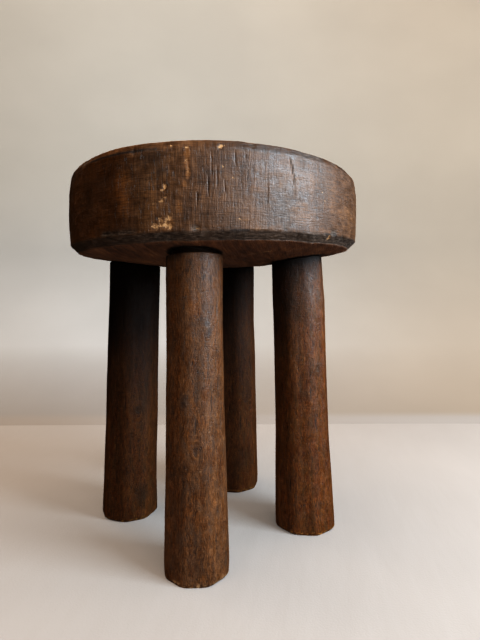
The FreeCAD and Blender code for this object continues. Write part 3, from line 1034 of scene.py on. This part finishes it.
def store_grain(skin):
    """Each point's place in the grain, in mm, whose lines part around the knots."""
    shift = np.zeros(len(skin.z))
    for angle, height, size, _dark in KNOTS[skin.leg.name]:
        across = skin.across(angle, MEAN_R)
        along = (skin.z / MM - height) * 0.42
        shift -= across * size ** 2 / (across ** 2 + along ** 2 + 0.35 * size ** 2)
    bent = np.radians(skin.theta) + shift * MM / MEAN_R + 0.055 * skin.noise("swirl")
    grain = np.stack([np.cos(bent) * skin.r, np.sin(bent) * skin.r, skin.z], 1) / MM
    layer = skin.mesh.attributes.new("grain", "FLOAT_VECTOR", "POINT")
    layer.data.foreach_set("vector", (grain + skin.seed * 3.0).astype(np.float32).ravel())


def leg_mesh(leg):
    """One leg with its hewn flats, streaky grain, knots, smudges and chipped foot."""
    skin = LegSkin(leg)
    rng = np.random.default_rng(skin.seed)
    hew_leg(skin)
    knot_leg(skin)
    crack_leg(skin, rng)
    cut_tenon_end(skin, rng)
    soil_and_shade_leg(skin)
    store_grain(skin)
    skin.mark("end", skin.end | skin.sole)
    skin.mark("ruddy", np.full(len(skin.z), RUDDY[leg.name]))
    return skin.finish()


# ---- building the wedges

WEDGE_TEXTURES = {"bruised": ((6, 1.2, 2), 0, 2), "broad": ((9, 9, 9), 1, 2)}


def wedge_mesh(name):
    """A split wedge, thick at the top, a little bruised and proud of the tenon's end."""
    low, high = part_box("wedge_" + name)
    turn = np.linspace(0.0, FULL_TURN, WEDGE_POINTS, endpoint=False)
    round_x, round_y = (np.sign(v) * np.abs(v) ** WEDGE_SQUARENESS
                        for v in (np.cos(turn), np.sin(turn)))
    reach = TENON_R - WEDGE_GAP
    half = (high.y - low.y) / 2.0

    def ring(z, share, inset):
        """A ring at height z, share of the way up the wedge."""
        x, y = LEGS[name].line(z)
        across = (half * (WEDGE_TAPER + (1.0 - WEDGE_TAPER) * share) - 0.05 * MM) * inset
        along = math.sqrt(max(reach ** 2 - across ** 2, 0.0)) * inset
        return np.stack([x + round_x * along, y + round_y * across, np.full(WEDGE_POINTS, z)], 1)

    rings = [ring(low.z, 0.0, inset) for inset in (0.3, 0.8)]
    for share in np.linspace(0.0, 1.0, WEDGE_RINGS):
        rings.append(ring(low.z + (high.z - 1.0 * MM - low.z) * share, share, 1.0))
    for inset in WEDGE_INSETS:
        flat = ring(high.z, 1.0, inset)
        flat[:, 2] = height_on(TOP_FIT, flat[:, 0], flat[:, 1]) + TENON_PROUD + WEDGE_PROUD
        rings.append(flat)
    mesh = mesh_from_rings("wedge_" + name + "_body", rings)
    skin = Skin(mesh, WEDGE_TEXTURES, 500 + LEG_NAMES.index(name))
    skin.depth += 0.12 * MM * skin.noise("bruised") + 0.18 * MM * skin.noise("broad")
    skin.mark("end", skin.up > 0.5)
    return skin.finish()


# ---- materials

# Black for dirt in seams and cracks, and for painted shade.
DIRT_AND_SHADE_BLACK = (0.006, 0.004, 0.0035)
# Black for painted shade under the seat.
SHADE_BLACK = (0.0045, 0.0014, 0.0005)
PALE_WOOD = (0.53, 0.315, 0.148)
FLAKED_WOOD = (0.23, 0.11, 0.04)
SEAT_WORN = (0.22, 0.09, 0.028)
SEAT_STAIN_AND_SHADE = (0.019, 0.011, 0.0075)
LEG_WORN = (0.22, 0.086, 0.022)
LEG_SMUDGE = (0.026, 0.0165, 0.0135)
LEG_SPOT = (0.016, 0.008, 0.005)
LEG_GREY = (0.062, 0.035, 0.0215)
# These three multiply the colour below them.
TOP_WEAR = (1.45, 1.35, 1.25)
LEG_AMBER = (1.07, 0.88, 0.5)
LEG_RED = (0.97, 0.75, 0.3)
# Ramps: place and colour of each stop. SEAT_HUES multiplies the seat's colour: below 0.25
# greyer and bluer, a painted sheen, and above it redder, painted shade.
SEAT_TONES = ((0.35, (0.02, 0.008, 0.0028)), (0.43, (0.052, 0.0208, 0.0066)),
              (0.51, (0.092, 0.0375, 0.0118)), (0.59, (0.15, 0.066, 0.0225)),
              (0.69, (0.235, 0.116, 0.046)))
SEAT_HUES = ((0.0, (1.1, 1.18, 1.32)), (0.25, (1.0, 1.0, 1.0)), (1.0, (0.7, 0.56, 0.28)))
WARM_TONES = ((0.3, (0.115, 0.042, 0.01)), (0.7, (0.32, 0.14, 0.042)))
DUSTY_TONES = ((0.38, (0.016, 0.0105, 0.0078)), (0.5, (0.052, 0.0375, 0.029)),
               (0.62, (0.15, 0.116, 0.093)))
UNDER_TONES = ((0.39, (0.078, 0.024, 0.0048)), (0.49, (0.142, 0.044, 0.0082)),
               (0.57, (0.205, 0.071, 0.016)), (0.66, (0.28, 0.118, 0.036)))
TOP_TONES = ((0.36, (0.026, 0.0095, 0.0032)), (0.45, (0.062, 0.0235, 0.0072)),
             (0.53, (0.108, 0.043, 0.0132)), (0.64, (0.19, 0.085, 0.029)))
LEG_TONES = ((0.37, (0.016, 0.0056, 0.0022)), (0.44, (0.054, 0.0196, 0.006)),
             (0.51, (0.1, 0.039, 0.0122)), (0.58, (0.162, 0.069, 0.0235)),
             (0.67, (0.25, 0.118, 0.046)))
END_TONES = ((0.35, (0.03, 0.014, 0.0075)), (0.62, (0.15, 0.075, 0.036)))
WEDGE_TONES = ((0.34, (0.05, 0.024, 0.012)), (0.5, (0.17, 0.088, 0.042)),
               (0.66, (0.33, 0.19, 0.098)))


class Wood:
    """A material under construction. A value may be a number, a socket or the name of one of
    the mesh's attributes."""

    def __init__(self, name):
        self.material = bpy.data.materials.new(name)
        self.material.use_nodes = True
        self.nodes = self.material.node_tree.nodes
        self.links = self.material.node_tree.links
        self.nodes.clear()
        self.shader = self.node("BsdfPrincipled")
        self.node("OutputMaterial", self.shader.outputs[0])

    def put(self, socket, value):
        """Links or sets a socket."""
        if isinstance(value, str):
            value = self.node("Attribute", attribute_name=value).outputs["Fac"]
        if isinstance(value, bpy.types.NodeSocket):
            self.links.new(value, socket)
        else:
            socket.default_value = value

    def node(self, kind, *values, **settings):
        """A node with its settings and its first inputs."""
        node = self.nodes.new("ShaderNode" + kind)
        for key, value in settings.items():
            setattr(node, key, value)
        for socket, value in zip(node.inputs, values):
            self.put(socket, value)
        return node

    def place(self):
        """The point in the stool's own frame, in millimetres."""
        point = self.node("TexCoord").outputs["Object"]
        return self.vector("MULTIPLY", point, (1000.0, 1000.0, 1000.0))

    def vector(self, kind, a, b):
        return self.node("VectorMath", a, b, operation=kind).outputs[0]

    def math(self, kind, a, b, clamp=False):
        return self.node("Math", a, b, operation=kind, use_clamp=clamp).outputs[0]

    def times(self, a, b):
        return self.math("MULTIPLY", a, b)

    def total(self, *parts):
        """The sum of the values, each times its weight."""
        (first, weight), *rest = parts
        result = self.times(first, weight)
        for value, weight in rest:
            result = self.math("ADD", result, self.times(value, weight))
        return result

    def noise(self, point, sizes, detail=2.0, rough=0.5, output="Fac"):
        """Noise with features of the given sizes in mm."""
        node = self.node("TexNoise", self.vector("DIVIDE", point, sizes))
        for name, value in (("Scale", 1.0), ("Detail", detail), ("Roughness", rough)):
            self.put(node.inputs[name], value)
        return node.outputs[output]

    def between(self, value, low, high, to_low=0.0, to_high=1.0):
        """The value's place between low and high, eased, as a number from to_low to to_high."""
        return self.node("MapRange", value, low, high, to_low, to_high,
                         interpolation_type="SMOOTHSTEP").outputs[0]

    def mix(self, factor, a, b, kind="MIX"):
        """Colour a with as much of colour b as the factor says."""
        node = self.node("Mix", factor, data_type="RGBA", blend_type=kind)
        for socket, colour in ((node.inputs[6], a), (node.inputs[7], b)):
            self.put(socket, (*colour, 1.0) if isinstance(colour, tuple) else colour)
        return node.outputs[2]

    def toward(self, colour, share, amount, other):
        """The colour, changed by the share times the amount to another."""
        return self.mix(self.times(share, amount), colour, other)

    def ramp(self, value, stops):
        """A colour ramp through (place, colour) stops."""
        node = self.node("ValToRGB", value)
        elements = node.color_ramp.elements
        while len(elements) < len(stops):
            elements.new(0.5)
        for element, (place, colour) in zip(elements, stops):
            element.position = place
            element.color = (*colour, 1.0)
        return node.outputs[0]

    def bump(self, *layers):
        """Relief from (height, distance, strength) layers, each on top of the last."""
        normal = None
        for height, distance, strength in layers:
            node = self.node("Bump", strength, distance)
            self.put(node.inputs["Height"], height)
            if normal is not None:
                self.put(node.inputs["Normal"], normal)
            normal = node.outputs[0]
        return normal

    def roughness(self, base, *parts):
        """The base roughness plus each value times its weight, kept between 0 and 1."""
        for k, (value, weight) in enumerate(parts, 1):
            base = self.math("ADD", base, self.times(value, weight), clamp=k == len(parts))
        return base

    def finish(self, colour, roughness, normal, gloss=0.5):
        """Completes the material. gloss is its specular level."""
        for name, value in (("Base Color", colour), ("Roughness", roughness),
                            ("Normal", normal), ("Specular IOR Level", gloss)):
            self.put(self.shader.inputs[name], value)
        return self.material


def seat_material():
    """Dark rubbed wood. Its layers stand upright and its fibres run from front to back."""
    w = Wood("seat_wood")
    p = w.place()
    warp = w.math("SUBTRACT", w.noise(p, (70, 90, 60)), 0.5)
    layered = w.vector("ADD", p, w.node("CombineXYZ", w.times(warp, 7.0)).outputs[0])
    upright = w.noise(layered, (0.62, 40, 13), 2.0, 0.60)
    level = w.noise(p, (11, 13, 0.66), 2.0, 0.60)
    middle = w.noise(layered, (3.4, 60, 30))
    patches = w.noise(p, (30, 44, 20), 4.0, 0.55)
    mottle = w.noise(p, (6.5, 11, 5), 4.0, 0.62)
    fibre = w.noise(layered, (0.85, 55, 20), 3.0, 0.62)
    lines = w.mix(w.between("across", 0.0, 1.0, 0.25, 0.62), level, upright)

    # The side: its grain, then wear, stains and painted shade, painted sheen and shade in its hue,
    # and the dust of its hollows.
    tone = w.total((lines, 0.46), (middle, 0.10), (patches, 0.22), (mottle, 0.22))
    colour = w.ramp(tone, SEAT_TONES)
    warm = w.times("warm", w.between(level, 0.34, 0.58, 0.45, 1.1))
    colour = w.mix(w.between(warm, 0.0, 0.8, 0.0, 0.78), colour, w.ramp(lines, WARM_TONES))
    colour = w.toward(colour, w.times("worn", w.between(mottle, 0.35, 0.62)), 0.60, SEAT_WORN)
    # Stains, with painted shade on the left end and on the chamfer's shaded part.
    colour = w.toward(colour, "stain_and_shade", 0.80, SEAT_STAIN_AND_SHADE)
    # Painted sheen and painted shade in the seat's hue.
    colour = w.mix(1.0, colour, w.ramp("hue", SEAT_HUES), "MULTIPLY")
    dusty = w.ramp(w.noise(p, (5, 5, 1.1), 4.0, 0.66), DUSTY_TONES)
    colour = w.toward(colour, "hollow", 0.80, dusty)

    # The underside, and the rubbed top.
    torn = w.noise(layered, (4.5, 21, 9), 4.0, 0.60)
    hewn = w.total((torn, 0.42), (fibre, 0.30), (patches, 0.28))
    colour = w.toward(colour, "under", 0.90, w.ramp(hewn, UNDER_TONES))
    bands = w.noise(layered, (5.5, 120, 30), 3.0, 0.55)
    rubbed = w.total((fibre, 0.34), (bands, 0.18), (patches, 0.34), (mottle, 0.14))
    above = w.ramp(rubbed, TOP_TONES)
    above = w.toward(above, "worn", 0.55, w.mix(1.0, above, TOP_WEAR, "MULTIPLY"))
    colour = w.mix("top", colour, above)

    # Chips of pale wood, the black of seams, hair cracks and checks, and painted shade round the
    # legs and in the crease.
    crumbs = w.math("SUBTRACT", w.noise(p, (0.9, 0.9, 0.55), 3.0, 0.65), 0.5)
    chips = w.between(w.math("ADD", "pale", w.times(crumbs, 3.0)), 0.40, 0.72)
    colour = w.mix(w.between("pale", 0.12, 0.5, 0.0, 0.55), colour, FLAKED_WOOD)
    colour = w.mix(w.times(chips, w.between("pale", 0.05, 0.3)), colour, PALE_WOOD)
    # Dark seams round the tenons' ends, and painted shade on the underside round each leg.
    colour = w.toward(colour, "seam_and_shade", 0.85, DIRT_AND_SHADE_BLACK)
    hair = w.between(w.noise(layered, (0.60, 30, 9)), 0.345, 0.27)
    hair = w.times(hair, w.between("across", 0.3, 0.9))
    colour = w.toward(colour, hair, 0.65, DIRT_AND_SHADE_BLACK)
    colour = w.mix(w.between("crack_and_shade", 0.25, 0.95), colour, DIRT_AND_SHADE_BLACK)

    top_polish = w.times("top", w.between(rubbed, 0.3, 0.7, 0.14, 0.0))
    rough = w.roughness(w.between(mottle, 0.30, 0.70, 0.37, 0.56), ("crack_and_shade", 0.35),
                        ("hollow", 0.16), ("under", 0.30), (top_polish, -1.0), ("pale", 0.25))
    relief = w.total((lines, 0.85), (hair, -0.45))
    normal = w.bump((relief, 0.00058, 0.95), (mottle, 0.0014, 0.36),
                    (w.times(hewn, "under"), 0.0030, 0.7), (w.times(fibre, "top"), 0.0004, 0.8))
    return w.finish(colour, rough, normal, 0.61)


def leg_material(name, gloss):
    """Warm brown rubbed wood with streaks up the leg that part around the knots."""
    w = Wood(name)
    g = w.node("Attribute", attribute_name="grain").outputs["Vector"]
    p = w.place()
    swirl = w.vector("SUBTRACT", w.noise(g, (8, 8, 15), output="Color"), (0.5, 0.5, 0.5))
    g = w.vector("ADD", g, w.vector("MULTIPLY", swirl, (5.0, 5.0, 9.0)))
    fine = w.noise(g, (0.62, 0.62, 6.2), 3.0, 0.66)
    middle = w.noise(g, (2.6, 2.6, 34), 3.0, 0.58)
    flecks = w.noise(g, (0.9, 0.9, 2.6), 2.0, 0.6)
    level = w.noise(p, (6, 6, 0.72), 2.0, 0.6)
    patches = w.noise(p, (15, 15, 30), 4.0, 0.62)
    mottle = w.noise(g, (4.5, 4.5, 7), 4.0, 0.66)

    tone = w.total((fine, 0.38), (middle, 0.17), (patches, 0.13), (mottle, 0.10),
                   (flecks, 0.14), (level, 0.08))
    colour = w.ramp(tone, LEG_TONES)
    hue = w.noise(g, (4, 4, 16), 4.0, 0.66)
    colour = w.mix(w.between(hue, 0.50, 0.62, 0.0, 0.75), colour, LEG_AMBER, "MULTIPLY")
    colour = w.mix(w.between(hue, 0.49, 0.37, 0.0, 0.45), colour, LEG_GREY)
    colour = w.toward(colour, w.times("worn", w.between(mottle, 0.35, 0.65)), 0.34, LEG_WORN)
    colour = w.toward(colour, "dark", 0.85, LEG_SMUDGE)
    spots = w.between(flecks, 0.35, 0.28)
    colour = w.toward(colour, spots, 0.65, LEG_SPOT)
    colour = w.mix("pale", colour, PALE_WOOD)
    # Dark seams, and a band of painted shade at the leg's top under the seat.
    colour = w.toward(colour, "seam_and_shade", 0.90, DIRT_AND_SHADE_BLACK)
    colour = w.mix("ruddy", colour, LEG_RED, "MULTIPLY")
    # Painted shade under the seat.
    colour = w.mix("painted_shade", colour, SHADE_BLACK)
    rings = w.noise(g, (1.6, 1.6, 900))
    colour = w.toward(colour, "end", 0.75, w.ramp(rings, END_TONES))
    colour = w.mix(w.between("crack_and_shade", 0.15, 0.80), colour, DIRT_AND_SHADE_BLACK)

    rough = w.roughness(w.between(mottle, 0.30, 0.70, 0.33, 0.52),
                        ("crack_and_shade", 0.30), ("painted_shade", 0.30), ("pale", 0.25))
    relief = w.total((fine, 0.55), (level, 0.35), (spots, -0.35))
    return w.finish(colour, rough, w.bump((relief, 0.00050, 0.90), (mottle, 0.0009, 0.40)), gloss)


def wedge_material():
    """Split wood seen on its end, grey-brown from hands and dust."""
    w = Wood("wedge_wood")
    p = w.place()
    fine = w.noise(p, (3, 0.7, 12), 3.0, 0.6)
    mottle = w.noise(p, (5, 5, 5), 3.0, 0.6)
    colour = w.ramp(w.total((fine, 0.6), (mottle, 0.4)), WEDGE_TONES)
    rough = w.between(mottle, 0.3, 0.7, 0.50, 0.70)
    return w.finish(colour, rough, w.bump((fine, 0.0004, 0.9)))


# ---- the studio

ROOM_HALF = 0.36              # from the stool back to the start of the cove
ROOM_WIDER = 1.7              # how much further the room reaches sideways
COVE_R = 0.35
WALL_TOP = 1.5
WALL_COLUMNS = 320
SQUARENESS = 9.0
FLOOR_CELLS = 16
FLOOR_REACH = 1.01 * ROOM_HALF
FLOOR_PALE = (0.310, 0.281, 0.263)
FLOOR_GLOW = 0.10             # a glow painted into the cloth, which lifts the shadows on it
GLOW_COLOUR = (1.0, 0.95, 0.90, 1.0)
WALL_PALE = (0.345, 0.305, 0.262)
# Painted light and shade on the plaster from its foot to its top, at the left and at the right.
WALL_LIGHT_LEFT = ((0.0, (0.82, 0.88, 1.00)), (0.10, (1.20, 1.35, 1.58)), (1.0, (1.15, 1.24, 1.33)))
WALL_LIGHT_RIGHT = ((0.0, (0.78, 0.72, 0.66)), (0.10, (0.83, 0.780, 0.73)), (1.0, (0.86, 0.81, 0.75)))

LAMPS_AIM = (0.0, 0.0, 0.20)
# Soft lamps: name, place, width and height, watts, colour, whether the wood's sheen shows it.
LAMPS = (
    ("window", (1.20, -0.50, 0.85), (0.72, 0.90), 51.0, (0.71, 0.87, 1.0), True),
    ("ceiling", (0.00, -0.10, 1.7), (1.8, 1.8), 35.0, (1.0, 0.82, 0.65), False),
    ("front", (0.75, -1.37, 0.60), (0.9, 0.9), 7.8, (1.0, 0.92, 0.88), True),
    ("side", (1.30, 0.30, 0.65), (0.6, 0.9), 4.6, (0.97, 0.95, 0.96), True),
    ("rear", (-1.30, 0.50, 0.60), (1.0, 1.0), 7.5, (1.0, 0.88, 0.76), False),
)
SURROUND_COLOUR = (1.0, 0.77, 0.50, 1.0)
SURROUND_STRENGTH = 0.27


def pale_material(name, colour, folded):
    """A material begun for cloth or plaster, with its place, paint, folds and relief."""
    w = Wood(name)
    p = w.place()
    weave = w.noise(p, (1.6, 1.6, 1.6))
    folds = w.noise(p, (34, 120, 34), 3.0)
    clouds = w.noise(p, (260, 260, 180), 3.0)
    normal = w.bump((w.math("ADD", weave, w.times(folds, folded)), 0.0004, 0.35))
    stops = [(at, tuple(c * share for c in colour)) for at, share in ((0.3, 0.96), (0.7, 1.04))]
    return w, p, w.ramp(clouds, stops), folds, normal


def wall_material():
    """Pale plaster that meets the cloth, with uneven light and shade painted on it."""
    w, p, paint, _folds, normal = pale_material("pale_wall", WALL_PALE, 1.0)
    x, _y, z = w.node("SeparateXYZ", p).outputs
    height = w.between(z, 0.0, 600.0)
    # Painted light and shade: darker at the foot, and brighter and cooler at the left than at the
    # right.
    left, right = w.ramp(height, WALL_LIGHT_LEFT), w.ramp(height, WALL_LIGHT_RIGHT)
    paint = w.mix(1.0, paint, w.mix(w.between(x, -500.0, 520.0), left, right), "MULTIPLY")
    paint = w.mix(w.between(z, 0.4, 7.0), FLOOR_PALE, paint)
    return w.finish(paint, 0.9, normal)


def cloth_material():
    """Pale cloth with soft folds."""
    w, _p, paint, folds, normal = pale_material("pale_cloth", FLOOR_PALE, 6.0)
    # The cloth glows a little: painted light.
    w.put(w.shader.inputs["Emission Color"], GLOW_COLOUR)
    w.put(w.shader.inputs["Emission Strength"], FLOOR_GLOW)
    return w.finish(paint, w.between(folds, 0.3, 0.7, 0.85, 0.95), normal)


def stage_piece(name, points, faces, material):
    """A part of the studio, which casts no shadow and isn't seen in the wood's sheen."""
    mesh = bpy.data.meshes.new(name)
    mesh.from_pydata(points.tolist(), [], faces)
    mesh.polygons.foreach_set("use_smooth", [True] * len(mesh.polygons))
    mesh.materials.append(material)
    piece = bpy.data.objects.new(name, mesh)
    bpy.context.scene.collection.objects.link(piece)
    piece.visible_shadow = False
    piece.visible_glossy = False
    return piece


def make_wall():
    """A round-cornered wall that stands on a small cove around the cloth."""
    angles = np.linspace(0.0, FULL_TURN, WALL_COLUMNS, endpoint=False)
    c, s = np.cos(angles), np.sin(angles)
    shape = (np.abs(c) ** SQUARENESS + np.abs(s) ** SQUARENESS) ** (-1.0 / SQUARENESS)
    profile = [(ROOM_HALF, 0.0)]
    for step in np.linspace(0.0, math.pi / 2.0, 16)[1:]:
        profile.append((ROOM_HALF + COVE_R * math.sin(step), COVE_R * (1.0 - math.cos(step))))
    profile.append((ROOM_HALF + COVE_R, WALL_TOP))
    points, faces = [], []
    for k, (reach, z) in enumerate(profile):
        wide = reach + (ROOM_WIDER - 1.0) * ROOM_HALF
        x, y = turned(c * shape * wide, s * shape * reach, math.radians(CAMERA_TURN))
        points.append(np.column_stack([x, y, np.full(WALL_COLUMNS, z)]))
        if k:
            faces += ring_faces((k - 1) * WALL_COLUMNS, WALL_COLUMNS,
                                k * WALL_COLUMNS, WALL_COLUMNS)
    wall = stage_piece("studio_wall", np.vstack(points), faces, wall_material())
    wall.visible_diffuse = False


def make_floor():
    """A flat cloth."""
    side = np.linspace(-FLOOR_REACH, FLOOR_REACH, FLOOR_CELLS + 1)
    x, y = [v.ravel() for v in np.meshgrid(side * ROOM_WIDER, side)]
    x, y = turned(x, y, math.radians(CAMERA_TURN))
    row = FLOOR_CELLS + 1
    corners = [j * row + k for j in range(FLOOR_CELLS) for k in range(FLOOR_CELLS)]
    faces = [(c, c + 1, c + row + 1, c + row) for c in corners]
    stage_piece("studio_floor", np.stack([x, y, x * 0.0], 1), faces, cloth_material())


def make_lights():
    """A tall soft window at the right, weak lamps that fill its shade, and a dim surround."""
    for name, place, size, power, colour, shiny in LAMPS:
        light = bpy.data.lights.new(name, "AREA")
        light.shape = "RECTANGLE"
        light.size, light.size_y = size
        light.energy = power
        light.color = colour
        lamp = bpy.data.objects.new(name, light)
        bpy.context.scene.collection.objects.link(lamp)
        lamp.location = place
        aim = Vector(LAMPS_AIM) - Vector(place)
        lamp.rotation_euler = aim.to_track_quat("-Z", "Y").to_euler()
        lamp.visible_glossy = shiny
    world = bpy.data.worlds.new("surround")
    bpy.context.scene.world = world
    world.use_nodes = True
    background = world.node_tree.nodes["Background"]
    background.inputs["Color"].default_value = SURROUND_COLOUR
    background.inputs["Strength"].default_value = SURROUND_STRENGTH
    world.cycles_visibility.glossy = False


def make_camera():
    """The camera, half a metre in front of the stool and lower than its seat."""
    turn, pitch, roll = (math.radians(a) for a in (CAMERA_TURN, CAMERA_PITCH, CAMERA_ROLL))
    level = math.cos(pitch)
    ahead = Vector((-math.sin(turn) * level, math.cos(turn) * level, math.sin(pitch)))
    right = Vector((math.cos(turn), math.sin(turn), 0.0))
    up = right.cross(ahead)
    right_rolled = right * math.cos(roll) - up * math.sin(roll)
    up_rolled = right * math.sin(roll) + up * math.cos(roll)
    data = bpy.data.cameras.new("camera")
    data.sensor_width = 36.0
    data.lens = CAMERA_LENS
    camera = bpy.data.objects.new("camera", data)
    bpy.context.scene.collection.objects.link(camera)
    axes = Matrix((right_rolled, up_rolled, -ahead)).transposed()
    camera.matrix_world = Matrix.Translation(CAMERA_PLACE) @ axes.to_4x4()
    bpy.context.scene.camera = camera


# ---- putting it together

make_camera()
make_lights()
make_wall()
make_floor()
make_piece(seat_mesh(), "seat", seat_material())
# Lit and shaded copies of the leg wood: the legs out of the light get less sheen, painted shade.
LIT_LEG_WOOD = leg_material("leg_wood", 0.45)
SHADED_LEG_WOOD = leg_material("leg_wood_shaded", 0.22)
LEG_WOOD = {"front": LIT_LEG_WOOD, "left": SHADED_LEG_WOOD, "right": LIT_LEG_WOOD, "back": SHADED_LEG_WOOD}
WEDGE_WOOD = wedge_material()
for leg_name in LEG_NAMES:
    make_piece(leg_mesh(LEGS[leg_name]), "leg_" + leg_name, LEG_WOOD[leg_name])
    make_piece(wedge_mesh(leg_name), "wedge_" + leg_name, WEDGE_WOOD)
bpy.context.scene.view_settings.view_transform = "Standard"
bpy.context.scene.view_settings.gamma = 0.8
